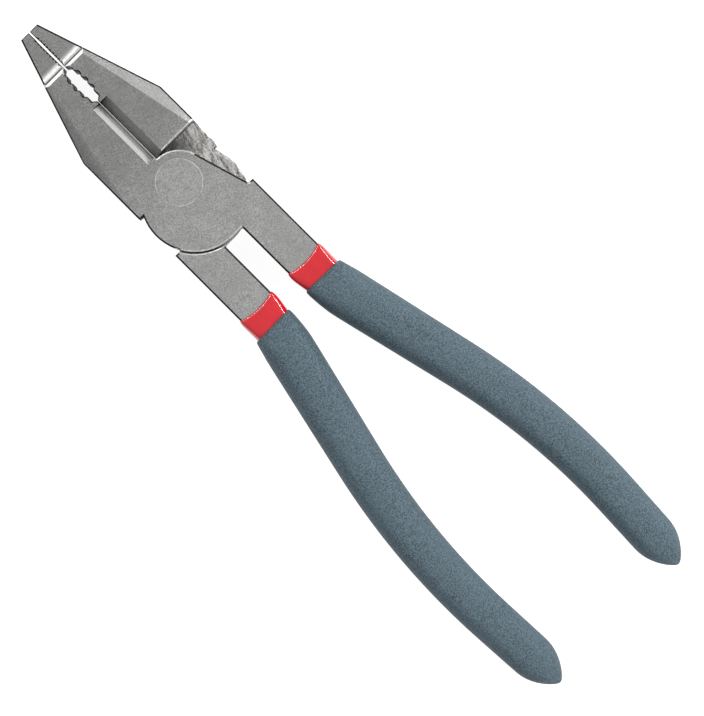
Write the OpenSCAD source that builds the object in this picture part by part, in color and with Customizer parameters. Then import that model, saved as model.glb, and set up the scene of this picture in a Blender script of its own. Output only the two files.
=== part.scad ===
// Side-cutting lineman pliers with a riveted lap joint, lying flat.
// +Y points from the pivot to the nose, +Z is up, and z = 0 is the lower flat face of the head.
// The two halves are one forging, used twice: the lower half is the upper half turned over about Y.

/* [Overall] */
// Length from the nose to the ends of the grips
overall_len = 210.4; // [180:0.2:260]
// Width across the head
head_w = 27.5; // [23:0.5:34]
// Thickness of the head between its two ground faces
head_t = 12; // [9.5:0.5:15]

/* [Jaws] */
// Length from the pivot to the end of the nose
jaw_len = 53.4; // [44:0.2:65]
// Width of the closed nose at its end
nose_w = 5.8; // [4:0.2:9]
// Thickness of the nose
nose_t = 9.2; // [7:0.2:9.4]
// Length of the flat gripping part of the nose
nose_len = 12.4; // [10:0.2:15]
// Opening left between the flat gripping faces when the cutters meet
nose_gap = 0.4; // [0.2:0.05:0.6]
// Pitch of the cross-cut teeth in the nose
tooth_pitch = 1.05; // [0.8:0.05:1.6]
// Depth of the cross-cut teeth
tooth_depth = 0.35; // [0.2:0.05:0.5]
// Plain land at the end of the nose, before the first tooth
tooth_land = 2.2; // [1:0.1:3]
// Distance from the pivot to where the cheeks begin to taper
cheek_len = 20.4; // [16:0.2:26]
// Rounding of the cheek corner, seen from above
cheek_corner_r = 2.5; // [1:0.5:5]
// How far in from the outline the cheek bevel starts, at both of its ends
cheek_inset = 1.35; // [0.8:0.05:1.8]
// Slope of the ground cheek bevel
cheek_slope = 25; // [15:1:35]
// Radius of the rolled cheek on the lap side
cheek_roll_r = 7; // [5.5:0.5:10]
// Radius of the fillet where the nose rises to the cheeks
step_fillet_r = 4.5; // [3:0.1:6]
// Slope of the small bevel at the top of that fillet
step_slope = 30; // [20:1:40]

/* [Pipe grip and cutters] */
// Length of the toothed oval between the nose and the cutters
pipe_len = 12.2; // [9:0.2:15]
// Number of hollows along each side of the oval
pipe_teeth = 5; // [4:1:7]
// Depth of the middle hollow from the centre line
pipe_root = 2.0; // [1.6:0.1:2.6]
// Depth of the middle crests from the centre line
pipe_crest = 1.35; // [0.7:0.05:1.5]
// Land between the oval and the cutters
cutter_land = 0.6; // [0.4:0.1:1.2]
// Width of each cutter bevel, seen from above
cutter_w = 2.4; // [1.6:0.1:3.2]
// Thickness of the cutting edge
cutter_edge = 0.6; // [0.3:0.1:1]
// Opening left between the two cutting edges when closed
cutter_gap = 0.1; // [0.04:0.02:0.16]

/* [Lap joint] */
// Radius of the raised bearing boss around the rivet
boss_r = 8.25; // [6.8:0.05:9.9]
// Distance that the round back of the lap sits below the pivot
lap_drop = 5.5; // [4:0.1:6.5]
// Clearance between the lap and the shoulders of the other half
lap_clear = 0.35; // [0.2:0.05:0.6]
// Clearance between the two bearing faces
face_clear = 0.1; // [0.06:0.02:0.2]
// Depth to which the forged face is relieved outside the boss
relief = 0.6; // [0.3:0.1:1]
// Distance of the handle shoulders below the pivot
shoulder_y = 12.4; // [11:0.1:14]
// Radius of the rivet shank
rivet_r = 4; // [3:0.1:4.8]
// Radius of the rivet heads
rivet_head_r = 6.1; // [5.4:0.1:6.8]
// Straight rim of each rivet head
rivet_rim = 0.8; // [0.4:0.1:1.2]
// Running clearance of the rivet in the upper half
rivet_clear = 0.05; // [0.02:0.01:0.09]

/* [Handles] */
// Gap between the two steel handles
tang_gap = 6.4; // [5:0.2:8]
// Straight length of the handle below the joint
neck_len = 15.3; // [12:0.1:20]
// Radius of the outward bend under the front of the grip
neck_bend_r = 68; // [45:1:100]
// Angle that the handle splays outward
splay = 13.1; // [9:0.1:16]
// Straight length after the bend
straight_len = 32.9; // [24:0.1:40]
// Angle that the handle toes in again at its end
toe_in = 3; // [1:0.5:6]
// Straight length at the end of the handle
end_len = 23.1; // [18:0.1:28]
// Width of the steel where the splayed straight begins
tang_mid_w = 8.6; // [7.6:0.1:9]
// Width of the steel at its end
tang_end_w = 7; // [5.5:0.1:7.4]
// Thickness of the steel where the grip begins
tang_grip_t = 10.6; // [9:0.1:11]
// Thickness of the steel at its end
tang_end_t = 8; // [6.5:0.1:9]

/* [Grips] */
// Length of bare steel between the joint and the vinyl sleeve
bare_len = 16.6; // [12:0.2:20]
// Wall of the red vinyl sleeve
sleeve_wall = 1; // [0.8:0.05:1.4]
// Wall of the sleeve at its lip
sleeve_lip = 0.35; // [0.3:0.05:0.6]
// How far the lip dips back across the flat faces
lip_dip = 1.5; // [0:0.1:2.5]
// Length of red sleeve that shows in front of the foam
sleeve_show = 6.3; // [4:0.1:10]
// Wall of the foam cover along its edges
foam_wall = 1.2; // [0.9:0.05:1.8]
// Wall of the foam cover over the flat faces
foam_pad = 2; // [1.2:0.1:3]
// Slant of the front edge of the foam
foam_slant = 1.5; // [0:0.1:3]
// Length of the tapered end of the foam
foam_nose = 10; // [7:0.5:13]
// Solid foam past the end of the sleeve
foam_end = 5; // [4:0.1:7]
// Solid vinyl past the end of the steel
sleeve_end = 2.6; // [2:0.1:4]

/* [Hidden] */
$fn = 96;

eps = 0.5;               // how far a cutter runs past what it cuts
half_w = head_w / 2;
half_t = head_t / 2;

// Jaw stations along Y
step_y = jaw_len - nose_len;
pipe_end_y = step_y - pipe_len;
cutter_top_y = pipe_end_y - cutter_land;
seat_y = boss_r + lap_clear;
step_rise = half_t - nose_t / 2;
taper = (half_w - nose_w / 2) / (jaw_len - cheek_len);
function jaw_edge(y) = nose_w / 2 + (jaw_len - y) * taper;

// Lap outline
lap_inset = 0.05;        // keeps the round lap inside the width of the head
lap_r = half_w - lap_inset;
lap_bottom_y = -(lap_drop + lap_r);
seat_r = lap_r + lap_clear;
notch_w = 1.55;          // ledge between the lap and the shoulder of its own handle
notch_h = 0.7;
ledge_rise = 0.2;        // how far the ledge stands above the shoulder
jaw_heel_y = 0.2;        // where the outer wall of the jaw ends above the round lap

// Centre line of a handle. s is the distance along it from the bottom of the lap,
// and heading is the angle outward from straight down.
tang_w = half_w - tang_gap / 2;
tang_x = tang_gap / 2 + tang_w / 2;
handle_reach = overall_len - jaw_len;
neck_arc = neck_bend_r * splay * PI / 180;
bow_drop = handle_reach + lap_bottom_y - neck_len - neck_bend_r * sin(splay)
    - straight_len * cos(splay) - end_len * cos(toe_in);
bow_r = bow_drop / (sin(splay) + sin(toe_in));
bow_arc = bow_r * (splay + toe_in) * PI / 180;
s_bend = neck_len;
s_straight = s_bend + neck_arc;
s_bow = s_straight + straight_len;
s_toe = s_bow + bow_arc;
s_end = s_toe + end_len;

function heading(s) =
    s < s_bend ? 0 :
    s < s_straight ? splay * (s - s_bend) / neck_arc :
    s < s_bow ? splay :
    s < s_toe ? splay - (splay + toe_in) * (s - s_bow) / bow_arc :
    -toe_in;

// Arc of radius r from heading a to heading b, as an [x, y] step
function arc_step(r, a, b) = [r * (cos(a) - cos(b)), -r * (sin(b) - sin(a))];
function line_step(l, a) = [l * sin(a), -l * cos(a)];

p_bend = [tang_x, lap_bottom_y - neck_len];
p_straight = p_bend + arc_step(neck_bend_r, 0, splay);
p_bow = p_straight + line_step(straight_len, splay);
p_toe = p_bow - arc_step(bow_r, splay, -toe_in);

function centre(s) =
    s < s_bend ? [tang_x, lap_bottom_y - s] :
    s < s_straight ? p_bend + arc_step(neck_bend_r, 0, heading(s)) :
    s < s_bow ? p_straight + line_step(s - s_straight, splay) :
    s < s_toe ? p_bow - arc_step(bow_r, splay, heading(s)) :
    p_toe + line_step(s - s_toe, -toe_in);

// Steel under the grip: stations, width and thickness
s_lip = bare_len;
s_foam = s_lip + sleeve_show;
s_sleeve_end = s_end - foam_end;
s_steel_end = s_sleeve_end - sleeve_end;
flat_y = lap_bottom_y - 7;               // the ground face of the head ends here
grip_y = centre(s_foam)[1];
steel_end_y = centre(s_steel_end)[1];

function ease(u) = let (c = min(1, max(0, u))) c * c * (3 - 2 * c);
function mix(a, b, u) = a + (b - a) * u;
function steel_w(s) =
    s < s_straight ? mix(tang_w, tang_mid_w, ease((s - s_lip) / (s_straight - s_lip))) :
    mix(tang_mid_w, tang_end_w, (s - s_straight) / (s_steel_end - s_straight));
function steel_t(y) =
    y > flat_y ? head_t :
    y > grip_y ? mix(head_t, tang_grip_t, (flat_y - y) / (flat_y - grip_y)) :
    mix(tang_grip_t, tang_end_t, (grip_y - y) / (grip_y - steel_end_y));

// Walls over the steel at a station, as [edge, face]. The vinyl builds up from its lip.
lip_len = 1.7;           // from the lip to the first full wall
front_share = 0.45;      // how far the wall has built up in front of the foam
sleeve_front = mix(sleeve_lip, sleeve_wall, front_share);
foam_lead = 6;           // length over which the foam rounds up to its full wall
foam_front = 0.3;        // share of the foam's wall at its front edge
grip_lead = 9;           // length over which the sections turn oval under the foam
function sleeve_skin(s) = s < s_foam
    ? mix(sleeve_lip, sleeve_front, ease((s - s_lip) / lip_len))
    : mix(sleeve_front, sleeve_wall, ease((s - s_foam) / grip_lead));
function foam_rise(s) = mix(foam_front, 1, sqrt(min(1, max(0, s - s_foam) / foam_lead)));

// Closing of a rounded end: 1 along the grip, falling to 0 at the end
end_fullness = 0.73;     // 1 is a sine curve, and less is blunter
function end_round(s, last, len) =
    s > last - len ? pow(sin(90 * max(0, last - s) / len), end_fullness) : 1;
sleeve_round = 3;        // length of the rounded end of the vinyl
sleeve_blunt = 0.55;     // share of its width left at the end
foam_blunt = 0.04;

// Half sizes in plan and in height
function steel_half(s) = let (m = min(s, s_steel_end)) [steel_w(m) / 2, steel_t(centre(m)[1]) / 2];
function sleeve_full(s) = [for (h = steel_half(s)) h + sleeve_skin(s)];
function sleeve_half(s) = sleeve_full(s) * mix(sleeve_blunt, 1, end_round(s, s_sleeve_end, sleeve_round));
function foam_half(s) = (sleeve_full(s) + [foam_wall, foam_pad] * foam_rise(s))
    * mix(foam_blunt, 1, end_round(s, s_end, foam_nose));

// Squareness of a section, as the exponent of a superellipse. The sleeve's is the one whose
// corners pass outside the corners of the steel.
corner_margin = 1.25;
foam_square = 2.8;
function sleeve_square(s) = let (h = steel_half(s)[1])
    corner_margin * ln(2) / ln(1 + sleeve_skin(s) / h);
function foam_square_at(s) = mix(sleeve_square(s), foam_square, ease((s - s_foam) / grip_lead));

SIDES = 24;
function power(v, p) = sign(v) * pow(abs(v), p);

// One ring of a grip, from its half sizes, its squareness and how far each point is moved along it
function ring(s, half, square, shifts) = [
    for (i = [0:SIDES - 1])
        let (
            a = 360 * i / SIDES,
            at = s + shifts[0] * cos(a) + shifts[1] * pow(sin(a), 2),
            x = half[0] * power(cos(a), 2 / square),
            z = half[1] * power(sin(a), 2 / square),
            c = centre(at),
            h = heading(at)
        )
        [c[0] + x * cos(h), c[1] + x * sin(h), z]
];
function middle(points) = [for (k = [0:2]) [for (p = points) p[k]] * [for (p = points) 1] / len(points)];

// A closed skin through rings of SIDES points each
module loft(rings) {
    last = len(rings) - 1;
    points = concat([for (r = rings) each r], [middle(rings[0]), middle(rings[last])]);
    front = len(points) - 2;
    back = len(points) - 1;
    faces = concat(
        [for (k = [0:last - 1], i = [0:SIDES - 1])
            let (j = (i + 1) % SIDES, a = k * SIDES, b = a + SIDES)
            each [[a + i, b + i, b + j], [a + i, b + j, a + j]]],
        [for (i = [0:SIDES - 1]) [front, i, (i + 1) % SIDES]],
        [for (i = [0:SIDES - 1]) [back, last * SIDES + (i + 1) % SIDES, last * SIDES + i]]
    );
    polyhedron(points, faces, convexity = 6);
}

// Stations: close together at both ends of a grip, and about ring_step apart between them
ring_step = 6.5;
function spread(from, to) = let (n = ceil((to - from) / ring_step))
    [for (i = [1:n]) from + (to - from) * i / n];
end_steps = 6;
end_crowding = 1.6;      // 1 spaces the steps evenly, and more crowds them at the end
function closing(last, len) =
    [for (i = [1:end_steps]) last - len * pow(1 - i / end_steps, end_crowding)];
sleeve_stations = concat(
    [s_lip, s_lip + lip_len * 0.4, s_lip + lip_len, s_lip + sleeve_show * 0.6, s_foam],
    [s_foam + grip_lead * 0.5],
    spread(s_foam + grip_lead * 0.5, s_sleeve_end - sleeve_round),
    closing(s_sleeve_end, sleeve_round)
);
foam_stations = concat(
    [for (u = [0, 0.06, 0.2, 0.5, 1]) s_foam + foam_lead * u],
    spread(s_foam + foam_lead, s_end - foam_nose),
    closing(s_end, foam_nose)
);

module lift() { translate([0, 0, half_t]) children(); }
module turned_over() { rotate([0, 180, 0]) children(); }
module both_faces() { children(); mirror([0, 0, 1]) children(); }

// Extrusions of an outline drawn as [x, z] or as [y, z]
module along_y(from, to) { translate([0, to, 0]) rotate([90, 0, 0]) linear_extrude(to - from) children(); }
module along_x(from, to) { translate([from, 0, 0]) rotate([90, 0, 90]) linear_extrude(to - from) children(); }

// ---- The forging, drawn as the upper half: jaw on -X, handle on +X, lap above z = 0

// Outline of the jaw with the cheek corner rounded
module jaw_plan() {
    bend = atan(taper);
    t = cheek_corner_r * tan(bend / 2);
    polygon([
        [-cutter_gap / 2, seat_y],
        [-half_w, seat_y],
        [-half_w, cheek_len - t],
        [-half_w + t * sin(bend), cheek_len + t * cos(bend)],
        [-nose_w / 2, jaw_len],
        [-cutter_gap / 2, jaw_len]
    ]);
    translate([-half_w + cheek_corner_r, cheek_len - t]) circle(cheek_corner_r);
}

// What the nose teeth and the pipe grip take away from the closing line of the jaw
tooth_run_out = 0.7;     // plain strip between the last tooth and the step
teeth = floor((nose_len - tooth_land - tooth_run_out) / tooth_pitch);
pipe_pitch = pipe_len / pipe_teeth;
pipe_flat = 0.45;        // flat on each crest and in each hollow
function oval(depth, u) = depth * sqrt(max(0, 1 - u * u));
function pipe_y(k) = step_y - k * pipe_pitch;
function pipe_u(k) = 2 * k / pipe_teeth - 1;
function crest_x(k) = -max(nose_gap / 2, oval(pipe_crest, pipe_u(k)));
function root_x(k) = -oval(pipe_root, pipe_u(k + 0.5));
module grip_cut() {
    g = nose_gap / 2;
    first = jaw_len - tooth_land;
    polygon(concat(
        [[eps, jaw_len + eps], [-g, jaw_len + eps]],
        [for (i = [0:teeth - 1]) each [
            [-g, first - i * tooth_pitch],
            [-g - tooth_depth, first - (i + 0.5) * tooth_pitch]
        ]],
        [[-g, first - teeth * tooth_pitch]],
        [for (k = [0:pipe_teeth - 1]) each [
            [crest_x(k), pipe_y(k) - pipe_flat / 2],
            [root_x(k), pipe_y(k + 0.5) + pipe_flat / 2],
            [root_x(k), pipe_y(k + 0.5) - pipe_flat / 2],
            [crest_x(k + 1), pipe_y(k + 1) + pipe_flat / 2]
        ]],
        [[-cutter_gap / 2, pipe_end_y], [eps, pipe_end_y]]
    ));
}

// Side view of the jaw, as [y, z]: thick cheeks, a small bevel, a fillet and the thinner nose
step_bevel = 0.9;        // length of the bevel along Y
step_bevel_h = step_bevel * tan(step_slope);
fillet_run = sqrt(pow(step_fillet_r, 2) - pow(step_fillet_r - step_rise + step_bevel_h, 2));
module jaw_side() {
    nose_z = nose_t / 2;
    difference() {
        translate([seat_y, -half_t]) square([jaw_len - seat_y, head_t]);
        for (flip = [0, 1]) mirror([0, flip]) {
            translate([step_y + fillet_run, nose_z]) square([nose_len, half_t]);
            translate([step_y + fillet_run, nose_z + step_fillet_r]) circle(step_fillet_r);
            polygon([
                [step_y - step_bevel, half_t],
                [step_y, half_t - step_bevel_h],
                [step_y + fillet_run, half_t - step_bevel_h],
                [step_y + fillet_run, half_t + eps],
                [step_y - step_bevel, half_t + eps]
            ]);
        }
    }
}

// The cheek is ground off outside a crease that runs up the jaw, on the face away from the lap.
// On the lap side the same edge is left rolled over as forged.
crease_heel = half_w - cheek_inset;
crease_top = jaw_edge(step_y) - cheek_inset;
crease_a = atan((crease_heel - crease_top) / (step_y - seat_y));
crease_len = jaw_len - seat_y;
crease_back = crease_len / 3;   // how far the cutters run past the heel of the jaw
cheek_w = 5;             // wider than the widest part of the cheek
roll_start = 8;          // slope at which the rolled edge leaves the flat face
module at_crease() { translate([-crease_heel, seat_y, 0]) rotate([0, 0, -crease_a]) children(); }
module cheek_bevel() {
    slope = tan(cheek_slope);
    at_crease() along_y(-crease_back, crease_len) polygon([
        [eps, -half_t - slope * eps],
        [-cheek_w, -half_t + slope * cheek_w],
        [-cheek_w, -half_t - slope * eps]
    ]);
}
module cheek_roll() {
    low = half_t - cheek_roll_r * cos(roll_start);
    at_crease() along_y(-crease_back, crease_len) difference() {
        translate([-cheek_w, low]) square([cheek_w, half_t - low + eps]);
        translate([cheek_roll_r * sin(roll_start), low]) circle(cheek_roll_r);
    }
}

// Both bevels of a cutter meet at a thin edge halfway through the jaw
module cutter_bevels() {
    run = cutter_w / (half_t - cutter_edge / 2);
    both_faces() along_y(seat_y, cutter_top_y) polygon([
        [-cutter_gap / 2, cutter_edge / 2],
        [-cutter_gap / 2 - cutter_w - run * eps, half_t + eps],
        [eps, half_t + eps],
        [eps, cutter_edge / 2]
    ]);
}

module jaw() {
    intersection() {
        translate([0, 0, -half_t]) linear_extrude(head_t) difference() {
            jaw_plan();
            grip_cut();
        }
        along_x(-half_w - eps, eps) jaw_side();
    }
}

// Outline of the lap. It is round at the back, and its front edge runs from the boss
// down to a small ledge above the handle.
ledge = [half_w - notch_w, -shoulder_y + ledge_rise];
ledge_tangent = atan2(ledge[1], ledge[0]) + acos(boss_r / norm(ledge));
module lap_plan() {
    circle(boss_r);
    intersection() {
        translate([0, -lap_drop]) circle(lap_r);
        translate([-head_w, -head_w]) square([head_w, 2 * head_w]);
    }
    translate([-half_w, jaw_heel_y]) square([half_w - cutter_gap / 2, seat_y - jaw_heel_y + eps]);
    polygon([
        [0, 0],
        boss_r * [cos(ledge_tangent), sin(ledge_tangent)],
        ledge,
        [half_w, ledge[1] - notch_h],
        [half_w, lap_bottom_y],
        [0, lap_bottom_y]
    ]);
}
module lap() {
    bearing = face_clear / 2;
    translate([0, 0, bearing + relief]) linear_extrude(half_t - bearing - relief) lap_plan();
    translate([0, 0, bearing]) cylinder(r = boss_r, h = half_t / 2);
}

// The handle's shoulder is hollow, to clear the round lap of the other half
module shoulder() {
    translate([0, 0, -half_t]) linear_extrude(head_t) difference() {
        translate([tang_gap / 2, lap_bottom_y - eps]) square([tang_w, -lap_bottom_y - shoulder_y + eps]);
        translate([0, -lap_drop]) circle(seat_r);
    }
}

steel_stations = concat(
    [0, s_bend],
    spread(s_bend, s_straight),
    spread(s_straight, s_bow),
    spread(s_bow, s_toe),
    [s_steel_end]
);
function steel_edge(s, side) = let (h = heading(s), w = side * steel_w(s) / 2)
    centre(s) + w * [cos(h), sin(h)];
module handle() {
    count = len(steel_stations);
    edge_y = steel_end_y - eps - tang_mid_w;
    intersection() {
        translate([0, 0, -half_t]) linear_extrude(head_t) polygon(concat(
            [for (s = steel_stations) steel_edge(s, 1)],
            [for (i = [count - 1:-1:0]) steel_edge(steel_stations[i], -1)]
        ));
        along_x(0, head_w * 2) polygon([
            [0, half_t], [flat_y, half_t], [grip_y, tang_grip_t / 2], [edge_y, tang_end_t / 2],
            [edge_y, -tang_end_t / 2], [grip_y, -tang_grip_t / 2], [flat_y, -half_t], [0, -half_t]
        ]);
    }
}

// The rivet, or with a clearance the hole that it runs in
module rivet_form(clear) {
    cone = rivet_head_r - rivet_r;
    cylinder(r = rivet_r + clear, h = head_t, center = true);
    both_faces() translate([0, 0, half_t - rivet_rim - cone]) {
        cylinder(r1 = rivet_r + clear, r2 = rivet_head_r + clear, h = cone);
        translate([0, 0, cone]) cylinder(r = rivet_head_r + clear, h = rivet_rim);
    }
}

module forging(clear) {
    difference() {
        union() {
            jaw();
            lap();
            shoulder();
            handle();
        }
        cheek_bevel();
        cheek_roll();
        cutter_bevels();
        rivet_form(clear);
    }
}

// Outer form of the vinyl sleeve. Its lip dips back across the faces.
module sleeve_form() {
    loft([for (s = sleeve_stations)
        let (fade = max(0, 1 - (s - s_lip) / sleeve_show))
        ring(s, sleeve_half(s), sleeve_square(s), [0, lip_dip * fade])]);
}
module grip_sleeve() {
    difference() {
        sleeve_form();
        handle();
    }
}
module grip_foam() {
    difference() {
        loft([for (s = foam_stations)
            let (fade = max(0, 1 - (s - s_foam) / foam_lead))
            ring(s, foam_half(s), foam_square_at(s), [fade * foam_slant / 2, 0])]);
        sleeve_form();
    }
}

steel_colour = [0.58, 0.58, 0.57];
vinyl_colour = [0.86, 0.14, 0.19];
foam_colour = [0.38, 0.46, 0.50];

module upper_half() { color(steel_colour) lift() forging(rivet_clear); }
module lower_half() { color(steel_colour) lift() turned_over() forging(0); }
module pivot_rivet() { color(steel_colour * 1.1) lift() rivet_form(0); }
module upper_sleeve() { color(vinyl_colour) lift() grip_sleeve(); }
module lower_sleeve() { color(vinyl_colour) lift() turned_over() grip_sleeve(); }
module upper_foam_cover() { color(foam_colour) lift() grip_foam(); }
module lower_foam_cover() { color(foam_colour) lift() turned_over() grip_foam(); }

upper_half();
lower_half();
pivot_rivet();
upper_sleeve();
lower_sleeve();
upper_foam_cover();
lower_foam_cover();
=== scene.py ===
import math

import bpy
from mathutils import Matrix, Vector, noise


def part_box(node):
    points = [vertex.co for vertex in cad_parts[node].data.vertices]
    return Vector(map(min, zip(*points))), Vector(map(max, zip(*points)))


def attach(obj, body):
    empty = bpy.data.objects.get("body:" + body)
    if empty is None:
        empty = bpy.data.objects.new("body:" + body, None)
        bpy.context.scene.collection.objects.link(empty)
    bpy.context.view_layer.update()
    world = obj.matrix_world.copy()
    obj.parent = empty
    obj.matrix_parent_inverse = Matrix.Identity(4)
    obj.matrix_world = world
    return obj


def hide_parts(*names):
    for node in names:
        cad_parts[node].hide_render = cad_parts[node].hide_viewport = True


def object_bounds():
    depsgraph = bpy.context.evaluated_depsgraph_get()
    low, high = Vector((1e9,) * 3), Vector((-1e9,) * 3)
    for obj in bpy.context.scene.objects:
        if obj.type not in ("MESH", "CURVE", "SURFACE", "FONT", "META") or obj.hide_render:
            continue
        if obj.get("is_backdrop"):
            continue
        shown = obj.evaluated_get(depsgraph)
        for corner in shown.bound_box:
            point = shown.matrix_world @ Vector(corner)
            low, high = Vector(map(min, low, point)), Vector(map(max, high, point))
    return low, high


bl_info = {
    "name": "Lineman Pliers",
    "version": (1, 0, 0),
    "blender": (4, 5, 0),
    "location": "View3D > Sidebar > Pliers",
    "description": "Builds the finished surfaces of a pair of lineman pliers round their packed frame",
    "category": "Add Mesh",
}

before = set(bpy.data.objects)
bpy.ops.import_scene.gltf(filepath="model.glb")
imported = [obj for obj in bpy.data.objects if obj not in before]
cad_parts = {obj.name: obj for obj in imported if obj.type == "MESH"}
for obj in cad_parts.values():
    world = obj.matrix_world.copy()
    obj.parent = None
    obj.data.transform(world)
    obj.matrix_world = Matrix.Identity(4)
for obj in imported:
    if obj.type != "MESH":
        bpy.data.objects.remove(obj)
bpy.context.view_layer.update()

MM = 0.001
HEAD_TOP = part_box("upper_half")[1][2]     # height of the head's upper face; its lower face is at 0
MID = HEAD_TOP / 2                        # the two laps meet here
TIP_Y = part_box("upper_half")[1][1]        # front of the nose
END_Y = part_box("upper_foam_cover")[0][1]  # back of the grips
JAW_SEAT = 8.6 * MM                       # heel of the jaws, where the lap starts
NOSE_STEP = 41.0 * MM                     # the small bevel above the nose meets its fillet here


# ---------------------------------------------------------------- settings

def length(name, description, default_mm, low=0.0, high=1000.0):
    """A length property, given in millimetres and kept in metres."""
    return bpy.props.FloatProperty(
        name=name, description=description, default=default_mm * MM,
        min=low * MM, max=high * MM, precision=5, subtype="DISTANCE", unit="LENGTH",
    )


def share(name, description, default):
    return bpy.props.FloatProperty(
        name=name, description=description, default=default, min=0.0, max=1.0, subtype="FACTOR",
    )


def colour(name, description, default):
    return bpy.props.FloatVectorProperty(
        name=name, description=description, default=default, min=0.0, max=1.0, size=3, subtype="COLOR",
    )


class PliersSteelSettings(bpy.types.PropertyGroup):
    edge_round: length("Edge Round", "Rounding of the edges of the forgings", 0.45, 0.05, 0.6)
    face_colour: colour("Face Colour", "Bead-blasted faces of the forgings", (0.375, 0.375, 0.37))
    ground_colour: colour("Ground Colour", "Bright ground surfaces", (0.46, 0.46, 0.455))
    forged_colour: colour("Forged Colour", "Rough skin left by the hammer", (0.30, 0.295, 0.285))
    roughness: share("Roughness", "Roughness of the blasted faces", 0.42)


class PliersGripSettings(bpy.types.PropertyGroup):
    vinyl_colour: colour("Vinyl Colour", "Dipped vinyl sleeves", (0.46, 0.005, 0.012))
    foam_colour: colour("Foam Colour", "Foam covers", (0.064, 0.093, 0.112))
    foam_grain: length("Foam Grain", "Size of the mottled grain of the foam", 0.38, 0.2, 2.0)


class PliersStageSettings(bpy.types.PropertyGroup):
    floor_colour: colour("Floor Colour", "Plain pale floor", (0.32, 0.32, 0.32))
    floor_glow: bpy.props.FloatProperty(
        name="Floor Glow", description="Light that comes up through the translucent floor",
        default=0.90, min=0.0, max=2.0,
    )
    lens: bpy.props.FloatProperty(
        name="Lens", description="Focal length of the camera in millimetres",
        default=200.0, min=35.0, max=400.0, subtype="DISTANCE_CAMERA",
    )


# ---------------------------------------------------------------- node trees

class Nodes:
    """A short way to write a material's node tree. Every pattern reads the piece's Object coordinates."""

    def __init__(self, name):
        self.material = bpy.data.materials.new(name)
        self.material.use_nodes = True
        self.tree = self.material.node_tree
        self.shader = self.tree.nodes["Principled BSDF"]
        self.place = self.tree.nodes.new("ShaderNodeTexCoord").outputs["Object"]

    def node(self, kind, inputs=(), **options):
        made = self.tree.nodes.new(kind)
        for key, value in options.items():
            setattr(made, key, value)
        for key, value in dict(inputs).items():
            self.put(made.inputs[key], value)
        return made

    def put(self, socket, value):
        if isinstance(value, bpy.types.NodeSocket):
            self.tree.links.new(value, socket)
        else:
            socket.default_value = value

    def set(self, **values):
        for key, value in values.items():
            self.put(self.shader.inputs[key.replace("_", " ")], value)

    def stretched(self, stretch, turn=0.0):
        """Object coordinates that make a pattern longer by stretch, turned about Z by turn degrees."""
        return self.node(
            "ShaderNodeMapping",
            {"Vector": self.place, "Scale": stretch, "Rotation": (0, 0, math.radians(turn))},
            vector_type="TEXTURE",
        ).outputs[0]

    def noise(self, size, detail=2.0, rough=0.5, vector=None, distortion=0.0):
        """Noise with features of about size, in metres, from 0 to 1."""
        return self.node(
            "ShaderNodeTexNoise",
            {
                "Vector": vector or self.place, "Scale": 1 / size, "Detail": detail,
                "Roughness": rough, "Distortion": distortion,
            },
        ).outputs["Fac"]

    def cells(self, size, vector=None, feature="F1"):
        """Distance to the nearest point of a cell pattern, in cell widths."""
        return self.node(
            "ShaderNodeTexVoronoi", {"Vector": vector or self.place, "Scale": 1 / size}, feature=feature,
        ).outputs["Distance"]

    def span(self, value, from_low, from_high, to_low=0.0, to_high=1.0):
        return self.node(
            "ShaderNodeMapRange",
            {
                "Value": value, "From Min": from_low, "From Max": from_high,
                "To Min": to_low, "To Max": to_high,
            },
        ).outputs[0]

    def math(self, operation, a, b=0.0):
        made = self.node("ShaderNodeMath", operation=operation)
        self.put(made.inputs[0], a)
        self.put(made.inputs[1], b)
        return made.outputs[0]

    def axis(self, letter):
        """One of the three Object coordinates, in metres."""
        return self.node("ShaderNodeSeparateXYZ", {"Vector": self.place}).outputs[letter]

    def tones(self, pattern, paint, low, high, start=0.35, stop=0.65):
        """A colour that goes from low times to high times its brightness as the pattern goes from start
        to stop."""
        return self.mix(self.span(pattern, start, stop), rgba(paint, low), rgba(paint, high))

    def mix(self, factor, a, b, blend="MIX"):
        made = self.node("ShaderNodeMix", data_type="RGBA", blend_type=blend)
        self.put(made.inputs["Factor"], factor)
        self.put(made.inputs[6], a)
        self.put(made.inputs[7], b)
        return made.outputs[2]

    def bump(self, height, distance, strength=1.0, onto=None):
        inputs = {"Height": height, "Distance": distance, "Strength": strength}
        if onto is not None:
            inputs["Normal"] = onto
        return self.node("ShaderNodeBump", inputs).outputs[0]


def rgba(value, factor=1.0):
    """A colour made brighter or darker by a factor, with its alpha."""
    return tuple(min(1.0, c * factor) for c in value) + (1.0,)


# ---------------------------------------------------------------- materials

# Blasted steel shades itself at low angles, so it reflects little of what lies beyond it.
GRAZING_TINT = (0.25, 0.25, 0.25, 1.0)
# The colour is made darker over the jaws than over the lap and the handles.
JAW_DARKENING = (0.72, 0.72, 0.72, 1.0)


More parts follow.
